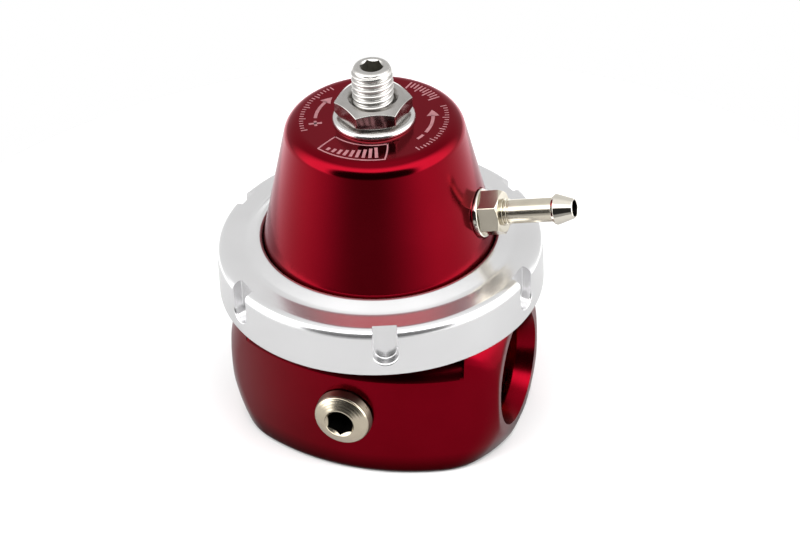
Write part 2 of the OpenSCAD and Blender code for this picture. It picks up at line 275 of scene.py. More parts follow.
def ridge(phase, crest, root):
    """thread form from 0 (root) to 1 (crest) over one pitch, with rounded corners"""
    w = np.abs((phase % 1.0) - 0.5) * 2          # 0 at the crest's middle, 1 at the root's middle
    h = np.clip((1 - root - w) / (1 - root - crest), 0, 1)
    return h * h * (3 - 2 * h) * 0.35 + h * 0.65


def soft_ridge(phase):
    """worn or plated thread form from 0 to 1: broad round crests and narrow roots"""
    w = 0.5 + 0.5 * np.cos(TAU * phase)
    return 1 - (1 - w) ** 1.6


def height_field(name, z, radius, n):
    """closed body round +Z from radius(angle, height), with flat ends"""
    a = np.arange(n) * TAU / n
    aa, zz = np.meshgrid(a, z, indexing="ij")
    rr = radius(aa, zz)
    k = len(z)
    p = np.stack([rr * np.cos(aa), rr * np.sin(aa), zz], -1).reshape(-1, 3).tolist()
    f = []
    for i in range(n):
        j = (i + 1) % n
        for s in range(k - 1):
            f.append((i * k + s, j * k + s, j * k + s + 1, i * k + s + 1))
    p += [(0, 0, z[0]), (0, 0, z[-1])]
    lo, hi = n * k, n * k + 1
    for i in range(n):
        j = (i + 1) % n
        f += [(lo, j * k, i * k), (hi, i * k + k - 1, j * k + k - 1)]
    return tidy(new_object(name, p, f))


def hex_body(name, af, z0, z1, turn, trim_low, trim_high, bore=0.0, bore_cham=0.0, per_side=14, trim=0.965):
    """hexagon with 30 degree trimmed corners; rows follow the trim curves, so its edges are clean"""
    r_in = af / 2
    r_top = r_in * trim
    a = []
    for s in range(6):
        base = math.radians(turn) + s * math.pi / 3
        for i in range(per_side):
            # denser near the corners
            u = 0.5 - 0.5 * math.cos(math.pi * i / per_side)
            a.append(base + u * math.pi / 3)
    a = np.array(a)
    local = (a - math.radians(turn)) % (math.pi / 3) - math.pi / 6
    rh = r_in / np.cos(local)
    drop = (rh - r_top) * math.tan(math.radians(30))
    rows = []
    ones = np.ones_like(a)
    if bore:
        rows.append((bore * ones, (z0 + bore_cham) * ones))
        rows.append(((bore + bore_cham) * ones, z0 * ones))
    rows.append((r_top * ones if trim_low else rh, z0 * ones))
    if trim_low:
        rows.append((rh, z0 + drop))
    rows.append((rh, z1 - drop if trim_high else z1 * ones))
    if trim_high:
        rows.append((r_top * ones, z1 * ones))
    if bore:
        rows.append(((bore + bore_cham) * ones, z1 * ones))
        rows.append((bore * ones, (z1 - bore_cham) * ones))
    n, k = len(a), len(rows)
    p = []
    for i in range(n):
        for r, z in rows:
            p.append((r[i] * math.cos(a[i]), r[i] * math.sin(a[i]), z[i]))
    f = []
    for i in range(n):
        j = (i + 1) % n
        for s in range(k if bore else k - 1):
            t = (s + 1) % k
            f.append((i * k + s, j * k + s, j * k + t, i * k + t))
    if not bore:
        p += [(0, 0, z0), (0, 0, z1)]
        for i in range(n):
            j = (i + 1) % n
            f += [(n * k, j * k, i * k), (n * k + 1, i * k + k - 1, j * k + k - 1)]
    return tidy(new_object(name, p, f))


def hex_prism(name, af, z0, z1, turn):
    rc = af / math.sqrt(3)
    p = [(rc * math.cos(math.radians(turn + 60 * i)), rc * math.sin(math.radians(turn + 60 * i)), z) for z in (z0, z1) for i in range(6)]
    f = [(5, 4, 3, 2, 1, 0), (6, 7, 8, 9, 10, 11)] + [(i, (i + 1) % 6, 6 + (i + 1) % 6, 6 + i) for i in range(6)]
    return tidy(new_object(name, p, f))


def soften(ob, width, segments=2, angle=25):
    """small rounded edges on a hexagon or a slot"""
    m = ob.modifiers.new("edge", "BEVEL")
    m.width = width
    m.segments = segments
    m.limit_method = "ANGLE"
    m.angle_limit = math.radians(angle)
    m.harden_normals = False
    w = ob.modifiers.new("shade", "WEIGHTED_NORMAL")
    w.keep_sharp = False
    w.weight = 100
    ob.data.polygons.foreach_set("use_smooth", [True] * len(ob.data.polygons))
    graph = bpy.context.evaluated_depsgraph_get()
    me = bpy.data.meshes.new_from_object(ob.evaluated_get(graph))
    ob.modifiers.clear()
    old = ob.data
    ob.data = me
    bpy.data.meshes.remove(old)
    return ob


# ---------------------------------------------------------------- materials

def material(name):
    m = bpy.data.materials.new(name)
    m.use_nodes = True
    nt = m.node_tree
    nt.nodes.clear()
    out = nt.nodes.new("ShaderNodeOutputMaterial")
    bsdf = nt.nodes.new("ShaderNodeBsdfPrincipled")
    nt.links.new(bsdf.outputs["BSDF"], out.inputs["Surface"])
    return m, nt, bsdf


def node(nt, kind, inputs=None, **props):
    n = nt.nodes.new(kind)
    for k, v in props.items():
        setattr(n, k, v)
    for k, v in (inputs or {}).items():
        if isinstance(v, bpy.types.NodeSocket):
            nt.links.new(v, n.inputs[k])
        else:
            n.inputs[k].default_value = v
    return n


def maths(nt, op, a, b=None, c=None):
    ins = {0: a}
    if b is not None:
        ins[1] = b
    if c is not None:
        ins[2] = c
    return node(nt, "ShaderNodeMath", ins, operation=op).outputs[0]


def axis_coords(nt, matrix=None):
    """object coordinates, turned into the frame of a lathe axis: position, radius, height"""
    pos = node(nt, "ShaderNodeTexCoord").outputs["Object"]
    if matrix is not None:
        inv = matrix.inverted()
        loc, rot, _ = inv.decompose()
        mp = node(nt, "ShaderNodeMapping", {"Vector": pos}, vector_type="POINT")
        mp.inputs["Location"].default_value = loc * 0.001
        mp.inputs["Rotation"].default_value = rot.to_euler()
        pos = mp.outputs[0]
    sep = node(nt, "ShaderNodeSeparateXYZ", {0: pos})
    x, y, z = sep.outputs
    r = maths(nt, "SQRT", maths(nt, "ADD", maths(nt, "MULTIPLY", x, x), maths(nt, "MULTIPLY", y, y)))
    return pos, r, z


def lathe_noise(nt, r, z, scale, detail=3.0, rough=0.6):
    v = node(nt, "ShaderNodeCombineXYZ", {0: r, 2: z}).outputs[0]
    return node(nt, "ShaderNodeTexNoise", {"Vector": v, "Scale": scale, "Detail": detail, "Roughness": rough}).outputs["Fac"]


def blotch(nt, pos, scale, detail=4.0, rough=0.55):
    return node(nt, "ShaderNodeTexNoise", {"Vector": pos, "Scale": scale, "Detail": detail, "Roughness": rough}).outputs["Fac"]


def spread(nt, fac, lo, hi, from_lo=0.3, from_hi=0.7):
    return node(nt, "ShaderNodeMapRange", {"Value": fac, "From Min": from_lo, "From Max": from_hi, "To Min": lo, "To Max": hi}).outputs[0]


def ramp(nt, fac, stops):
    n = node(nt, "ShaderNodeValToRGB", {"Fac": fac})
    el = n.color_ramp.elements
    while len(el) < len(stops):
        el.new(0.5)
    for e, (p, c) in zip(el, stops):
        e.position = p
        e.color = (*c, 1)
    return n.outputs["Color"]


def bump(nt, height, distance, strength=1.0, normal=None):
    ins = {"Height": height, "Distance": distance, "Strength": strength}
    if normal is not None:
        ins["Normal"] = normal
    return node(nt, "ShaderNodeBump", ins).outputs[0]


def metal(name, dark, light, rough, lathe=None, matrix=None, lathe_bump=2e-6, grain=None, grain_bump=1e-6, blotch_scale=90.0, metallic=1.0, edge=None, coat=0.0, painted_foot_shade=None):
    """metal with colour and gloss varying in soft blotches, turning lines round an axis and a fine grain;
    painted_foot_shade, if given, multiplies the colour darker towards the bottom as painted shade
    """
    m, nt, b = material(name)
    pos, r, z = axis_coords(nt, matrix)
    cloud = blotch(nt, pos, blotch_scale)
    b.inputs["Metallic"].default_value = metallic
    colour = ramp(nt, cloud, [(0.3, dark), (0.7, light)])
    # painted shade: the colour is multiplied darker towards the bottom (over the heights given by the first two
    # numbers, down to the third), standing in for the shadowed floor seen in the lower rounding
    if painted_foot_shade:
        shade = ramp(nt, spread(nt, z, 0.0, 1.0, painted_foot_shade[0], painted_foot_shade[1]), [(0.0, (painted_foot_shade[2],) * 3), (1.0, (1.0, 1.0, 1.0))])
        colour = node(nt, "ShaderNodeMix", {0: 1.0, 6: colour, 7: shade}, data_type="RGBA", blend_type="MULTIPLY").outputs[2]
    nt.links.new(colour, b.inputs["Base Color"])
    normal = None
    rg = cloud
    if lathe:
        lines = lathe_noise(nt, r, z, lathe)
        rg = maths(nt, "ADD", maths(nt, "MULTIPLY", cloud, 0.4), maths(nt, "MULTIPLY", lines, 0.6))
        normal = bump(nt, lines, lathe_bump)
    if grain:
        fine = blotch(nt, pos, grain, 2.0, 0.5)
        normal = bump(nt, fine, grain_bump, normal=normal)
    nt.links.new(spread(nt, rg, rough[0], rough[1]), b.inputs["Roughness"])
    if normal is not None:
        nt.links.new(normal, b.inputs["Normal"])
    if edge:
        b.inputs["Specular Tint"].default_value = edge
    if coat:
        b.inputs["Coat Weight"].default_value = coat
        b.inputs["Coat Roughness"].default_value = 0.16
    return m


def rubber(name, colour, light, rough, weave=0.0):
    m, nt, b = material(name)
    pos, r, z = axis_coords(nt)
    cloud = blotch(nt, pos, 160.0)
    nt.links.new(ramp(nt, cloud, [(0.3, colour), (0.7, light)]), b.inputs["Base Color"])
    fine = blotch(nt, pos, 2600.0, 2.0)
    nt.links.new(spread(nt, cloud, rough - 0.06, rough + 0.06), b.inputs["Roughness"])
    normal = bump(nt, fine, 4e-6)
    if weave:
        sep = node(nt, "ShaderNodeSeparateXYZ", {0: pos})
        sx = maths(nt, "SINE", maths(nt, "MULTIPLY", sep.outputs[0], weave))
        sy = maths(nt, "SINE", maths(nt, "MULTIPLY", sep.outputs[1], weave))
        normal = bump(nt, maths(nt, "MULTIPLY", sx, sy), 1.2e-5, normal=normal)
    nt.links.new(normal, b.inputs["Normal"])
    return m


# frame of the barb: origin on its washer seat, +Z outward along the barb
TILT = math.atan((22.68 - 16.9) / (67.9 - 42.3))
BARB = (Matrix.Rotation(math.radians(2.3), 4, "Z")
        @ Matrix.Translation((22.68 - (22.68 - 16.9) / (67.9 - 42.3) * (49.3 - 42.3) - 0.6, 0, 49.3 - 0.6 * math.sin(TILT)))
        @ Matrix.Rotation(math.pi / 2 - TILT, 4, "Y"))
# frame of the plug: origin on its outer face, +Z inward
PLUG = Matrix.Translation((0, -27.1, 13.9)) @ Matrix.Rotation(-math.pi / 2, 4, "X")
# frames of the side ports: origin on the flat, +Z inward
PORTS = [Matrix.Translation((s * 28.1, 0, 13.9)) @ Matrix.Rotation(-s * math.pi / 2, 4, "Y") for s in (1, -1)]

# the base's lowest few millimetres are darkened by painted_foot_shade: painted shade near the floor contact
m_base = metal("anodised_red_base", (0.150, 0.0006, 0.0055), (0.172, 0.0010, 0.0070), (0.13, 0.19), grain=1400.0, grain_bump=1.0e-6, blotch_scale=70.0, painted_foot_shade=(0.0010, 0.0046, 0.24))
m_bore = metal("anodised_red_bore", (0.16, 0.0010, 0.0060), (0.19, 0.0016, 0.0080), (0.17, 0.26), lathe=1500.0, matrix=PORTS[0], lathe_bump=5e-6, blotch_scale=120.0)
# painted shade: a much darker red for the pocket under the ring, which the ring's overhang keeps in shadow
m_relief_painted_shade = metal("anodised_red_relief_painted_shade", (0.040, 0.0005, 0.0020), (0.060, 0.0008, 0.0030), (0.26, 0.36), grain=1400.0, grain_bump=2.0e-6, blotch_scale=90.0)
m_bonnet = metal("anodised_red_turned", (0.150, 0.0006, 0.0055), (0.172, 0.0010, 0.0070), (0.12, 0.18), lathe=2600.0, lathe_bump=0.9e-6, blotch_scale=60.0, edge=(1.0, 0.78, 0.82, 1), coat=0.03)
m_ring = metal("anodised_clear_turned", (0.690, 0.688, 0.692), (0.725, 0.722, 0.727), (0.19, 0.25), lathe=2400.0, lathe_bump=0.4e-6, blotch_scale=80.0, metallic=0.9)
# painted shade: dark grey for the ring's underside, standing in for the shadow it sits in over the floor
m_under_painted_shade = metal("anodised_clear_underside_painted_shade", (0.10, 0.10, 0.10), (0.16, 0.158, 0.158), (0.34, 0.46), lathe=2400.0, lathe_bump=1.5e-6, blotch_scale=80.0)
m_screw = metal("stainless_screw", (0.46, 0.448, 0.428), (0.54, 0.527, 0.505), (0.24, 0.34), grain=2600.0, grain_bump=1.5e-6, blotch_scale=300.0)
m_nut = metal("stainless_nut", (0.38, 0.365, 0.35), (0.45, 0.435, 0.415), (0.15, 0.22), grain=2400.0, grain_bump=1.5e-6, blotch_scale=240.0)
m_washer = metal("stainless_washer", (0.58, 0.57, 0.555), (0.66, 0.65, 0.635), (0.20, 0.30), lathe=3000.0, lathe_bump=0.8e-6, blotch_scale=300.0)
# painted shade: darker nickel for the plug's threaded side below its head, which lies in shadow
m_flank_painted_shade = metal("nickel_thread_flank_painted_shade", (0.19, 0.165, 0.125), (0.25, 0.22, 0.17), (0.24, 0.34), grain=1800.0, grain_bump=2e-6, blotch_scale=260.0)
m_nickel = metal("nickel_plated_plug", (0.47, 0.41, 0.315), (0.57, 0.51, 0.40), (0.19, 0.28), grain=1800.0, grain_bump=2e-6, blotch_scale=260.0)
m_barb = metal("nickel_turned", (0.58, 0.535, 0.44), (0.66, 0.61, 0.505), (0.16, 0.24), lathe=3000.0, matrix=BARB, lathe_bump=0.6e-6, blotch_scale=260.0)
m_tip = metal("nickel_polished", (0.66, 0.62, 0.545), (0.73, 0.69, 0.61), (0.05, 0.09), lathe=3000.0, matrix=BARB, lathe_bump=0.3e-6, blotch_scale=260.0)
# painted shade: near-black for the inside of the plug's hex socket and the barb's bore, where these deep recesses fall
# dark
m_socket_painted_shade = metal("socket_and_bore_painted_shade", (0.016, 0.015, 0.014), (0.034, 0.032, 0.029), (0.34, 0.50), grain=2200.0, grain_bump=3e-6, blotch_scale=400.0)
# rougher broached finish, with a colour darker than the screw's as painted shade inside the socket
m_broach_painted_shade = metal("socket_broached_painted_shade", (0.30, 0.29, 0.25), (0.40, 0.385, 0.335), (0.34, 0.48), grain=2200.0, grain_bump=3e-6, blotch_scale=400.0)


# ---------------------------------------------------------------- base

def rnd(r, *d):
    return np.sqrt(sum(np.maximum(q + r, 0) ** 2 for q in d)) - r


def base_field(p):
    """distance-like field of the base's outer form: turned ball, two flats, bowed front and back, flat bottom"""
    x, y, z = p.T
    ball = np.sqrt(x * x + y * y + (z - 13.9) ** 2) - 31.2
    front = np.hypot(x, y - 20.4) - 44
    back = np.hypot(x, y + 20.4) - 44
    cone = (np.hypot(x, y) - 27.33 - 1.4 * z) / math.hypot(1, 1.4)
    body = rnd(1.2, ball, rnd(1.2, np.maximum(front, back), -z))
    body = rnd(0.3, body, cone)
    body = rnd(0.22, body, np.abs(x) - 28.1)
    return rnd(0.18, body, z - 27.25)


CENTRE = np.array((0, 0, 13.9))


def base_project(p):
    d = p - CENTRE
    d /= np.linalg.norm(d, axis=1)[:, None]
    lo, hi = np.full(len(d), 5.0), np.full(len(d), 45.0)
    for _ in range(38):
        mid = (lo + hi) / 2
        out = base_field(CENTRE + d * mid[:, None]) > 0
        hi = np.where(out, mid, hi)
        lo = np.where(out, lo, mid)
    return CENTRE + d * hi[:, None]


def base_normal(p):
    e = 1e-4
    g = np.stack([base_field(p + e * np.eye(3)[i]) - base_field(p - e * np.eye(3)[i]) for i in range(3)], 1)
    return g / np.maximum(np.linalg.norm(g, axis=1), 1e-12)[:, None]


def refined(p, t, rounds, max_angle, min_len):
    """splits edges where the surface turns, until it is finely followed"""
    for _ in range(rounds):
        n = base_normal(p)
        e = np.sort(np.concatenate([t[:, [0, 1]], t[:, [1, 2]], t[:, [2, 0]]]), axis=1)
        u, inv = np.unique(e, axis=0, return_inverse=True)
        inv = inv.reshape(-1)
        turn = np.degrees(np.arccos(np.clip(np.sum(n[u[:, 0]] * n[u[:, 1]], 1), -1, 1)))
        size = np.linalg.norm(p[u[:, 0]] - p[u[:, 1]], axis=1)
        split = (turn > max_angle) & (size > min_len)
        if not split.any():
            break
        mid = np.full(len(u), -1)
        mid[split] = len(p) + np.arange(split.sum())
        p = np.vstack([p, base_project((p[u[split, 0]] + p[u[split, 1]]) / 2)])
        k = len(t)
        m = np.stack([mid[inv[:k]], mid[inv[k:2 * k]], mid[inv[2 * k:]]], 1)
        out = []
        count = (m >= 0).sum(1)
        out.append(t[count == 0])
        for shift in range(3):
            tt, mm = np.roll(t, -shift, 1), np.roll(m, -shift, 1)
            one = (count == 1) & (mm[:, 0] >= 0)
            a, b, c = tt[one].T
            q = mm[one, 0]
            out += [np.stack([a, q, c], 1), np.stack([q, b, c], 1)]
            two = (count == 2) & (mm[:, 2] < 0)
            a, b, c = tt[two].T
            q, s = mm[two, 0], mm[two, 1]
            out += [np.stack([q, b, s], 1), np.stack([a, q, s], 1), np.stack([a, s, c], 1)]
        three = count == 3
        a, b, c = t[three].T
        q, s, r = m[three].T
        out += [np.stack([a, q, r], 1), np.stack([q, b, s], 1), np.stack([r, s, c], 1), np.stack([q, s, r], 1)]
        t = np.concatenate(out)
    return p, t


def port_cutter(name, major, minor, pitch, depth, chamfer, n=112, rows=11, plain=0.1, seat=0.0):
    """threaded hole as a solid to take away: +Z inward from the mouth, plain for a little before the thread;
    with a seat, the mouth tapers in to the thread's crests over that depth"""
    z = np.concatenate([[-1.0, 0.0, chamfer], np.arange(chamfer + 0.12, depth - 0.1, pitch / rows), [depth]])

    def radius(a, h):
        fade = np.clip((h - chamfer - plain) / (0.8 * pitch), 0, 1) * np.clip((depth - 1.6 - h) / (0.8 * pitch), 0, 1)
        form = ridge(h / pitch - a / TAU, 0.14, 0.10)
        if seat:
            return np.maximum(major + chamfer - (major + chamfer - minor) * np.clip(h / seat, 0, 1), minor) + (major - minor) * (1 - form) * fade
        return np.where(h < chamfer, major + chamfer - np.maximum(h, 0), major - (major - minor) * form * fade)

    return height_field(name, z, radius, n)


def relief_cutter(side):
    """cut under the ring on the front or back, where the bowed face rolls in towards the neck"""
    rows, r, low = [], 4.0, 22.3
    t = np.radians(np.linspace(90, 5, 26))
    rho = 44 - r * math.cos(math.radians(8)) + r * np.cos(t)
    high = low - r * math.sin(math.radians(8)) + r * np.sin(t)
    for x in np.linspace(-22.6, 22.6, 121):
        y = np.sqrt(rho ** 2 - x * x) - 20.4
        inner = max(math.sqrt(max(20.3 ** 2 - x * x, 0)), 10.0)
        kept = np.maximum(y, inner)
        q = [(inner, 29.2)] + list(zip(kept, np.interp(kept, y, high)))
        rows.append([(x, side * v, h) for v, h in q + [(y[-1] + 9, high[-1]), (y[-1] + 9, 29.2)]])
    k = len(rows[0])
    p = [v for row in rows for v in row]
    f = [tuple(range(k)), tuple(range(len(p) - 1, len(p) - k - 1, -1))]
    for i in range(len(rows) - 1):
        for t in range(k):
            t2 = (t + 1) % k
            f.append((i * k + t, (i + 1) * k + t, (i + 1) * k + t2, i * k + t2))
    return tidy(new_object("relief", p, f))


bm = bmesh.new()
bmesh.ops.create_icosphere(bm, subdivisions=6, radius=20)
start = np.array([v.co[:] for v in bm.verts]) + CENTRE
tris = np.array([[v.index for v in f.verts] for f in bm.faces])
bm.free()
pts, tris = refined(base_project(start), tris, 7, 11.0, 0.09)
base = tidy(new_object("regulator_base", pts, tris))
neck_line = rounded([(0, 26.6), (28.2, 26.6), (28.2, 27.85, 0.1), (27.3, 28.75, 0.15), (27.3, 29.6, 0.15), (28.2, 30.5, 0.1),
                     (28.2, 35.2, 0.1), (27.7, 35.7, 0.1), (0, 35.7)])
boolean(base, turned("neck", neck_line, 192), "UNION")
for s in (-1, 1):
    boolean(base, relief_cutter(s))
boolean(base, turned("chamber", [(0, 24.5), (11.5, 24.5), (11.5, 22), (17.5, 22), (17.5, 31), (21.5, 31), (21.5, 40), (0, 40)], 128))
boolean(base, turned("seat_bore", [(0, 12.6), (6.6, 12.6), (6.6, 13.0), (3.6, 15), (3.6, 16.5), (5, 16.5), (5, 30), (0, 30)], 96))
boolean(base, turned("gland", [(5.2, 23.3), (6.9, 23.3), (6.9, 30), (5.2, 30)], 96))
boolean(base, port_cutter("return_port", 7.14, 6.45, 1.411, 13.0, 0.5, 96))
for frame_of_port in PORTS:
    boolean(base, move(port_cutter("side_port", 11.11, 10.45, 1.814, 16.5, 0.41, plain=4.2, seat=3.6), frame_of_port))
gauge = turned("gauge_port", [(0, -2), (5.9, -2), (5.9, 0.0), (5.34, 0.5), (4.95, 12), (0, 12)], 128)
boolean(base, move(gauge, Matrix.Translation((0, -23.6, 13.9)) @ Matrix.Rotation(-math.pi / 2, 4, "X")))
for s in (-1, 1):
    boolean(base, move(port_cutter("bracket_hole", 2.5, 2.1, 0.8, 9.0, 0.3, 48, 9), Matrix.Translation((13 * s, 15.5, 0))))
tidy(base, 1e-5)
me = base.data
smooth(me, 30)
nrm = corner_normals(me)
centre, pos, lf = face_arrays(me)
fn = np.zeros(len(me.polygons) * 3)
me.polygons.foreach_get("normal", fn)
on = (np.abs(base_field(centre)) < 0.02) & (np.sum(base_normal(centre) * fn.reshape(-1, 3), 1) > 0.9)
skin = base_normal(pos)
nrm[on[lf]] = skin[on[lf]]
me.normals_split_custom_set(nrm.tolist())
finish_piece(base, "housing", m_base, ["base_body"])
# the pocket faces under the ring get the darker red: painted shade
second_material(base, m_relief_painted_shade, lambda p: (np.abs(p[:, 0]) < 22.62) & (p[:, 2] > 22.4) & (p[:, 2] < 29.25) & (np.hypot(p[:, 0], p[:, 1]) > 20.2)
                & (np.hypot(p[:, 0], p[:, 1]) < 28.1) & (np.abs(p[:, 1]) > 9.9) & (base_field(p) < -0.03))
second_material(base, m_bore, lambda p: (np.hypot(p[:, 1], p[:, 2] - 13.9) < 11.56) & (np.abs(p[:, 0]) < 28.07) & (np.abs(p[:, 0]) > 24.3))

# ---------------------------------------------------------------- clamp ring

# outer wall, rounded shoulder, flat shelf, cove and lip, then the threaded inside
ring_line = np.array(
    [(28.75, 30.5)] + [tuple(p) for p in rounded([(28.75, 30.5), (32.1, 30.5, 0.35), (32.1, 40.7, 1.8), (27.1, 40.7)], 6.0)[1:-1]]
    + [(27.2, 40.7)] + arc(27.1, 42.9, 2.2, 270, 238, 8) + arc(23.8, 41.5, 0.8, 58, 180, 14)
    + [(23.02, 41.4), (23.45, 39.3), (23.55, 39.2), (28.25, 39.2), (28.25, 31.0)])
ring = turned("clamp_ring_body", ring_line, 288)
cutters = []
for i in range(6):
    w, u = 2.36, []
    # spanner slot: U-shaped, open at the top, with a small fillet round its back wall and a rounded mouth
    cove = [(29.9 + 0.2 * (1 - math.cos(q)), -0.2 * (1 - math.sin(q)), -0.2 * (1 - math.sin(q))) for q in np.linspace(0, math.pi / 2, 6)]
    lips = [(31.66 + 0.4 * math.sin(q), 0.4 * (1 - math.cos(q)), 0.4 * (1 - math.cos(q))) for q in np.radians(np.linspace(0, 80, 8))]
    for x, gy, gz in [(29.9, -0.3, -0.3)] + cove + [(30.17, 0, 0), (31.58, 0, 0)] + lips + [(32.5, 0.5, 0.5), (34.0, 0.7, 0.7)]:
        q = [(w + gy, 45.0)] + [((w + gy) * math.cos(math.radians(t)), 35.45 + (w + gz) * math.sin(math.radians(t))) for t in np.linspace(0, -180, 33)] + [(-w - gy, 45.0)]
        u.append([(x, y, z) for y, z in q])
    k = len(u[0])
    p = [v for row in u for v in row]
    f = [tuple(range(k)), tuple(range(len(p) - 1, len(p) - k - 1, -1))]
    for s in range(len(u) - 1):
        for t in range(k):
            t2 = (t + 1) % k
            f.append((s * k + t, (s + 1) * k + t, (s + 1) * k + t2, s * k + t2))
    c = tidy(new_object("slot", p, f))
    cutters.append(move(c, Matrix.Rotation(math.radians(-69.0 + 60 * i), 4, "Z")))
for c in cutters:
    boolean(ring, c)
tidy(ring)
turned_normals(ring, ring_line)
finish_piece(ring, "housing", m_ring, ["clamp_ring"])
# the ring's flat underside gets the dark grey: painted shade
second_material(ring, m_under_painted_shade, lambda p: (p[:, 2] < 30.62) & (np.hypot(p[:, 0], p[:, 1]) < 31.9))

# ---------------------------------------------------------------- bonnet

slope = (22.68 - 16.9) / (67.9 - 42.3)
bonnet_line = rounded([(27.6, 36.6, 0.1), (28.0, 36.8), (28.0, 39.2, 0.1), (22.68 + slope * (42.3 - 39.2), 39.2), (16.9, 67.9, 3.3),
                       (5.95, 67.9, 0.05), (5.65, 67.6), (5.65, 66.6), (4.05, 66.6), (4.05, 61.1), (7.5, 61.1), (7.5, 62.5), (13.6, 62.5, 0.5),
                       (18.8, 42.5, 0.5), (21.3, 39.4), (21.3, 36.6)], 5.0)
bonnet = turned("bonnet_body", bonnet_line, 256)
spot = turned("spot_face", rounded([(0, 0), (5.1, 0, 0.2), (5.1, 9), (0, 9)]), 96)
boolean(bonnet, move(spot, BARB))
hole = turned("barb_hole", [(0, -12), (2.5, -12), (2.5, 1), (0, 1)], 64)
boolean(bonnet, move(hole, BARB))
tidy(bonnet)
turned_normals(bonnet, bonnet_line)
finish_piece(bonnet, "housing", m_bonnet, ["bonnet"])

# ---------------------------------------------------------------- etched marks on the bonnet's top: which way to turn, and a scale

mark_v, mark_f = [], []


def top_height(r):
    return 67.9 if r <= 14.26 else 64.6 + math.sqrt(3.3 ** 2 - (r - 14.26) ** 2)


def mark(outline):
    """thin plate on the top, from a grid of (radius, degrees) rows"""
    n, k = len(outline), len(outline[0])
    first = len(mark_v)
    for dz in (-0.05, 0.016):
        for row in outline:
            for r, a in row:
                mark_v.append((r * math.cos(math.radians(a)), r * math.sin(math.radians(a)), top_height(r) + dz))
    up = first + n * k
    for i in range(n - 1):
        for j in range(k - 1):
            q = (i * k + j, i * k + j + 1, (i + 1) * k + j + 1, (i + 1) * k + j)
            mark_f.append(tuple(up + t for t in q))
            mark_f.append(tuple(first + t for t in reversed(q)))
    rim = [(0, j) for j in range(k)] + [(i, k - 1) for i in range(1, n)] + [(n - 1, j) for j in range(k - 2, -1, -1)] + [(i, 0) for i in range(n - 2, 0, -1)]
    for (i, j), (i2, j2) in zip(rim, rim[1:] + rim[:1]):
        mark_f.append((first + i * k + j, first + i2 * k + j2, up + i2 * k + j2, up + i * k + j))


def band(r0, r1, a0, a1):
    n = max(2, int(abs(a1 - a0) / 2) + 1)
    mark([[(r0 + (r1 - r0) * j / 3, a) for j in range(4)] for a in np.linspace(a0, a1, n)])


def tick(r0, r1, a, width):
    """radial bar of even width"""
    mark([[(math.hypot(r, w), a + math.degrees(math.atan2(w, r))) for r in np.linspace(r0, r1, 4)] for w in (-width / 2, width / 2)])


def head(r, a, length, width):
    """arrow head at the end of an arc, its point `length` degrees further on"""
    mark([[(r - width * (1 - t) / 2, a + length * t), (r + width * (1 - t) / 2, a + length * t)] for t in (0.0, 0.33, 0.66, 0.98)])


# anticlockwise and minus on the right, clockwise and plus on the left
band(10.95, 11.6, -10, 21)
head(11.28, 20, 11, 2.4)
band(11.0, 11.55, -24, -15)
band(10.95, 11.6, 165, 196)
head(11.28, 166, -11, 2.4)
band(11.0, 11.55, 201, 210)
tick(10.0, 12.55, 205.5, 0.55)
# fine graduations along the edge
for i, a in enumerate(np.arange(-34, 35, 3.4)):
    tick(13.55 if i % 5 else 13.1, 14.35, a, 0.26)
for i, a in enumerate(np.arange(146, 215, 3.4)):
    tick(13.55 if i % 5 else 13.1, 14.35, a, 0.26)
for i, a in enumerate(np.arange(48, 79, 3.4)):
    tick(12.6 if i % 3 else 11.9, 14.35, a, 0.34)
# framed row of rising bars at the front
band(9.35, 9.65, -122, -54)
band(14.3, 14.6, -118, -62)
for a0, a1 in ((-122, -118), (-54, -62)):
    mark([[(9.35 + 5.25 * t, a0 + (a1 - a0) * t), (9.35 + 5.25 * t, a0 + (a1 - a0) * t + (1.5 if a0 < -100 else -1.5))] for t in np.linspace(0, 1, 7)])
for i in range(9):
    tick(13.75 - 0.9 - 0.32 * i, 13.75, -111 + 5.3 * i, 0.62)
marks = tidy(new_object("bonnet_marks", mark_v, mark_f))
smooth(marks.data, 20)
m_mark, nt, b = material("etched_mark")
pos, r, z = axis_coords(nt)
cloud = blotch(nt, pos, 900.0)
nt.links.new(ramp(nt, cloud, [(0.3, (0.27, 0.095, 0.108)), (0.7, (0.38, 0.165, 0.180))]), b.inputs["Base Color"])
nt.links.new(spread(nt, cloud, 0.5, 0.7), b.inputs["Roughness"])
nt.links.new(bump(nt, blotch(nt, pos, 5000.0, 2.0), 3e-6), b.inputs["Normal"])
finish_piece(marks, "housing", m_mark)

# ---------------------------------------------------------------- adjuster

z = np.concatenate([np.arange(58.2, 77.7, 1.25 / 16), np.linspace(77.75, 79.7, 34)])


def screw_radius(a, h):
    form = 3.46 + 0.52 * soft_ridge(h / 1.25 - a / TAU)
    # domed lead at the outer end, turned tip at the inner one
    lead = np.where(h > 77.9, 2.70 + 1.30 * np.sqrt(np.clip(1 - ((h - 77.9) / 1.86) ** 2, 0, 1)), 9.0)
    tip = 3.3 + np.maximum(h - 58.2, 0) * 1.0
    return np.minimum(np.minimum(form, lead), tip)


screw = height_field("adjuster_screw", z, screw_radius, 84)
nose = turned("screw_nose", rounded([(0, 55.5), (2.6, 55.5, 0.4), (2.6, 58.4), (0, 58.4)]), 64)
boolean(screw, nose, "UNION")
key = hex_prism("key", 4.0, 74.7, 81.0, 12)
boolean(screw, key)
mouth = turned("mouth", [(0, 79.35), (1.95, 79.35), (2.85, 80.2), (0, 80.2)], 72)
boolean(screw, mouth)
tidy(screw)
smooth(screw.data, 38)
finish_piece(screw, "screw", m_screw, ["adjusting_screw"])
# the screw's hex socket gets the darker steel: painted shade in the recess, plus a rougher broached finish
second_material(screw, m_broach_painted_shade, lambda p: (np.hypot(p[:, 0], p[:, 1]) < 2.36) & (p[:, 2] > 74.0) & (p[:, 2] < 79.3))

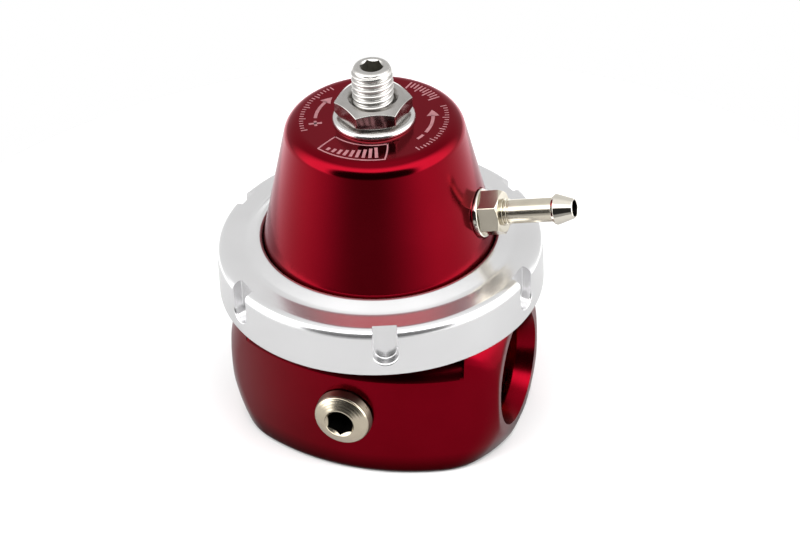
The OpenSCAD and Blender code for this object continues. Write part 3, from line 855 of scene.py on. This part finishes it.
nut = hex_body("adjuster_nut", 13.0, 69.0, 73.0, 23.2, True, True, 4.05, 0.9, trim=0.90)
soften(nut, 0.15, 3, 20)
finish_piece(nut, "nut", m_nut, ["jam_nut"])

washer_line = rounded([(4.2, 67.9, 0.08), (8.0, 67.9, 0.15), (8.0, 69.0, 0.88), (4.2, 69.0, 0.12)], 7.5)
washer = turned("adjuster_washer", washer_line, 144)
turned_normals(washer, washer_line)
finish_piece(washer, "housing", m_washer, ["nut_washer"])

# ---------------------------------------------------------------- barb and its washer

h1 = 5.1
barb_line = rounded([(1.58, -3.4), (2.2, -3.4, 0.1), (2.5, -3.1, 0.1), (2.5, 4.6), (2.6, 4.6), (2.6, h1 + 0.34, 0.12), (2.15, h1 + 0.42, 0.06), (2.15, h1 + 0.76, 0.06),
                     (2.52, h1 + 0.84, 0.08), (2.52, h1 + 1.12, 0.08), (2.18, h1 + 1.22, 0.05), (2.18, h1 + 1.42, 0.05), (2.35, h1 + 1.52, 0.1), (2.35, 15.25, 0.1), (2.82, 15.42, 0.08), (3.05, 15.9, 0.3),
                     (1.93, 19.3, 0.12), (1.80, 19.4, 0.05), (1.68, 19.4, 0.04), (1.58, 19.28)], 10)
barb = turned("barb_body", barb_line, 96)
turned_normals(barb, barb_line)
barb_hex = hex_body("barb_hex", 8.0, 1.1, h1, 48, False, True)
soften(barb_hex, 0.1, 2, 20)
join_n = corner_normals(barb.data).tolist() + corner_normals(barb_hex.data).tolist()
join(barb, [barb_hex])
barb.data.polygons.foreach_set("use_smooth", [True] * len(barb.data.polygons))
barb.data.normals_split_custom_set(join_n)
move(barb, BARB)
finish_piece(barb, "housing", m_barb, ["vacuum_barb"])
second_material(barb, m_tip, lambda p: in_frame(BARB, p)[:, 2] > 15.0)
# the barb's bore gets the near-black: painted shade in the hole
second_material(barb, m_socket_painted_shade, lambda p: (np.hypot(*in_frame(BARB, p)[:, :2].T) < 1.62))

bw_line = rounded([(2.55, 0), (4.75, 0, 0.2), (4.75, 1.1, 0.3), (2.55, 1.1, 0.1)], 12)
bw = turned("barb_seal_washer", bw_line, 96)
turned_normals(bw, bw_line)
move(bw, BARB)
finish_piece(bw, "housing", m_tip, ["barb_washer"])

# ---------------------------------------------------------------- gauge-port plug

PITCH = 25.4 / 27


def plug_radius(a, h):
    # low domed head with fine thread lines on it, then the taper thread inside the port
    line = [(0.0, 3.2), (0.06, 3.34), (0.55, 4.4), (1.0, 5.22), (1.12, 5.39), (1.26, 5.5), (1.45, 5.57), (1.8, 5.65), (2.4, 5.73), (3.2, 5.79), (3.3, 5.72), (3.36, 5.04), (9.4, 4.84), (10.0, 4.14)]
    form = np.interp(h, [q[0] for q in line], [q[1] for q in line])
    rings = np.interp(h, [0, 0.1, 0.7, 1.2, 3.0, 3.2], [0, 0.018, 0.018, 0.05, 0.05, 0])
    turn = np.interp(h, [0, 1.1, 3.3], [0, 4.2, 8.6])
    return form - rings * (1 - soft_ridge(turn + a / TAU))


z = np.concatenate([np.linspace(0, 1.1, 52), np.linspace(1.13, 3.3, 60), [3.36], np.linspace(3.6, 9.4, 12), [10.0]])
plug = height_field("port_plug", z, plug_radius, 112)
boolean(plug, hex_prism("plug_key", 5.0, -1.0, 4.8, 30))
boolean(plug, turned("plug_mouth", rounded([(0, -0.6), (3.4, -0.6), (2.98, 0.08, 0.3), (2.45, 0.6), (0, 0.6)], 9), 72))
tidy(plug)
smooth(plug.data, 38)
move(plug, PLUG)
finish_piece(plug, "housing", m_nickel, ["gauge_port_plug"])
# the plug's threaded side below the head gets the darker nickel: painted shade
second_material(plug, m_flank_painted_shade, lambda p: (in_frame(PLUG, p)[:, 2] > 1.45) & (np.hypot(*in_frame(PLUG, p)[:, :2].T) > 4.0))
# the plug's hex socket gets the near-black: painted shade in the recess
second_material(plug, m_socket_painted_shade, lambda p: (np.hypot(*in_frame(PLUG, p)[:, :2].T) < 2.85) & (in_frame(PLUG, p)[:, 2] > 0.55) & (in_frame(PLUG, p)[:, 2] < 4.9))

# ---------------------------------------------------------------- main spring, stretched between its seats


def spring_height(t):
    hgt = 15.9
    close = 2.5
    pitch = (hgt - 2.4 - 0.06 - 2 * 0.8 * close) / 2.0
    if t < 0.8:
        return t * close
    if t < 2.8:
        return 0.8 * close + (t - 0.8) * pitch
    return 0.8 * close + 2.0 * pitch + (t - 2.8) * close


n, k = 260, 20
sp, sf = [], []
for i in range(n + 1):
    t = 3.6 * i / n
    a = TAU * t
    for j in range(k):
        b = TAU * j / k
        rr = 10.7 + 1.2 * math.cos(b)
        # ground flat ends
        zz = 38.6 + 1.23 + spring_height(t) + 1.2 * math.sin(b)
        sp.append((rr * math.cos(a), rr * math.sin(a), min(max(zz, 38.63), 54.47)))
for i in range(n):
    for j in range(k):
        sf.append((i * k + j, (i + 1) * k + j, (i + 1) * k + (j + 1) % k, i * k + (j + 1) % k))
sf += [tuple(range(k)), tuple(range(n * k + k - 1, n * k - 1, -1))]
spring = tidy(new_object("regulating_spring", sp, sf))
smooth(spring.data, 40)
spring.data.transform(Matrix.Scale(0.001, 4))
m_spring = metal("spring_steel_oiled", (0.20, 0.205, 0.22), (0.30, 0.305, 0.32), (0.28, 0.42), grain=1600.0, grain_bump=3e-6, blotch_scale=180.0)
spring.data.materials.append(m_spring)
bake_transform(spring)
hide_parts("main_spring")

# ---------------------------------------------------------------- inner nodes keep their solids

m_inner = metal("steel_turned", (0.46, 0.45, 0.43), (0.56, 0.55, 0.53), (0.26, 0.38), lathe=2600.0, lathe_bump=3e-6, blotch_scale=200.0)
m_alu = metal("aluminium_turned", (0.70, 0.70, 0.71), (0.79, 0.79, 0.80), (0.24, 0.36), lathe=2200.0, lathe_bump=3e-6, blotch_scale=150.0)
m_brass = metal("brass_turned", (0.60, 0.43, 0.17), (0.72, 0.53, 0.24), (0.20, 0.32), lathe=2600.0, lathe_bump=3e-6, blotch_scale=220.0)
m_seal = rubber("seal_black", (0.012, 0.012, 0.012), (0.022, 0.022, 0.021), 0.5)
m_diaphragm = rubber("diaphragm_fabric", (0.020, 0.019, 0.018), (0.038, 0.035, 0.032), 0.62, 9000.0)
for names, mat in ((("upper_spring_seat", "stem_washer", "stem_nut", "valve_ball", "ball_retainer"), m_inner),
                   (("diaphragm_plate", "valve_carrier"), m_alu), (("valve_seat",), m_brass),
                   (("screw_o_ring", "seat_o_ring"), m_seal), (("diaphragm",), m_diaphragm)):
    for nm in names:
        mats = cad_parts[nm].data.materials
        for i in range(len(mats)):
            mats[i] = mat
        if not len(mats):
            mats.append(mat)

# ---------------------------------------------------------------- stage

m_floor, nt, b = material("floor_paper")
seen_floor = node(nt, "ShaderNodeLightPath").outputs["Is Camera Ray"]
nt.links.new(ramp(nt, seen_floor, [(0.0, (0.565, 0.565, 0.565)), (1.0, (0.90, 0.90, 0.90))]), b.inputs["Base Color"])
b.inputs["Roughness"].default_value = 0.9
b.inputs["Specular IOR Level"].default_value = 0.1
ang = np.linspace(0, TAU, 97)[:-1]
floor = new_object("floor", [(0.125 * math.cos(t), 0.125 * math.sin(t) + 0.005, 0.0) for t in ang], [tuple(range(96))])
floor.data.materials.append(m_floor)

AZ = math.radians(20.5)
EL = math.radians(35.698)
ROLL = math.radians(2.528)
right = Vector((math.cos(AZ), math.sin(AZ), 0))
back = Vector((math.sin(AZ) * math.cos(EL), -math.cos(AZ) * math.cos(EL), math.sin(EL)))
up = back.cross(right)
c, s = math.cos(ROLL), math.sin(ROLL)
rx, ry = c * right - s * up, s * right + c * up
t = Vector((-3.615, -1.902, -594.725))
where = Vector((0, 0, 30.5)) - (rx * t.x + ry * t.y + back * t.z)
cam = bpy.data.cameras.new("camera")
cam.lens = 135.0
cam.sensor_width = 36.0
cam.clip_start = 0.01
cam.clip_end = 20.0
camera = bpy.data.objects.new("camera", cam)
bpy.context.scene.collection.objects.link(camera)
camera.matrix_world = Matrix(((rx.x, ry.x, back.x, where.x * 0.001), (rx.y, ry.y, back.y, where.y * 0.001),
                              (rx.z, ry.z, back.z, where.z * 0.001), (0, 0, 0, 1)))
bpy.context.scene.camera = camera

# a light tent: bright side walls and roof, a dim opening at the front
world = bpy.data.worlds.new("studio")
bpy.context.scene.world = world
world.use_nodes = True
wt = world.node_tree
wt.nodes.clear()
w_out = wt.nodes.new("ShaderNodeOutputWorld")
w_bg = wt.nodes.new("ShaderNodeBackground")
wt.links.new(w_bg.outputs[0], w_out.inputs[0])
w_dir = node(wt, "ShaderNodeTexCoord").outputs["Generated"]


def along(direction):
    return node(wt, "ShaderNodeVectorMath", {0: w_dir, 1: tuple(direction)}, operation="DOT_PRODUCT").outputs["Value"]


def step(value, lo, hi, out_lo=0.0, out_hi=1.0):
    return node(wt, "ShaderNodeMapRange", {"Value": value, "From Min": lo, "From Max": hi, "To Min": out_lo, "To Max": out_hi},
                interpolation_type="SMOOTHSTEP").outputs[0]


def frame_round(azimuth, elevation, half_az, half_el, power):
    """1 on the rim of a rounded rectangle of directions, less inside it"""
    u = maths(wt, "DIVIDE", maths(wt, "SUBTRACT", az_of, math.radians(azimuth)), math.radians(half_az))
    v = maths(wt, "DIVIDE", maths(wt, "SUBTRACT", el_of, math.radians(elevation)), math.radians(half_el))
    u = maths(wt, "POWER", maths(wt, "ABSOLUTE", u), power)
    v = maths(wt, "POWER", maths(wt, "ABSOLUTE", v), power)
    return maths(wt, "POWER", maths(wt, "ADD", u, v), 1.0 / power)


# directions as azimuth from the tent's opening and elevation, in radians
az_of = maths(wt, "ARCTAN2", along((math.cos(AZ), math.sin(AZ), 0)), along((math.sin(AZ), -math.cos(AZ), 0)))
el_of = maths(wt, "ARCSINE", along((0, 0, 1)))
# pale tent, an arch of bright panels round a dark opening, and a floor that darkens towards the opening
opening = step(frame_round(-4, 14, 54, 30, 3.0), 0.87, 1.13)
arch = maths(wt, "MULTIPLY", step(frame_round(0, 12, 105, 55, 2.5), 1.2, 0.8), step(el_of, math.radians(-16), math.radians(4)))
roof = step(el_of, math.radians(52), math.radians(78), 0.84, 1.15)
tent = maths(wt, "MULTIPLY_ADD", maths(wt, "MULTIPLY_ADD", arch, 3.3, roof), opening, 0.03)
low = step(maths(wt, "ABSOLUTE", maths(wt, "ADD", az_of, math.radians(12))), math.radians(8), math.radians(78), 0.42, 1.75)
blend = step(el_of, math.radians(-9), math.radians(-1))
light = node(wt, "ShaderNodeMix", {0: blend, 2: low, 3: tent}, data_type="FLOAT").outputs[0]
ray = node(wt, "ShaderNodeLightPath").outputs["Is Camera Ray"]
seen = node(wt, "ShaderNodeMix", {0: ray, 2: light, 3: 1.0}, data_type="FLOAT").outputs[0]
wt.links.new(seen, w_bg.inputs["Strength"])
w_bg.inputs["Color"].default_value = (1, 1, 1, 1)

view = bpy.context.scene.view_settings
view.view_transform = "Standard"
view.look = "None"
view.exposure = 0.0
view.gamma = 1.0

bpy.context.view_layer.update()
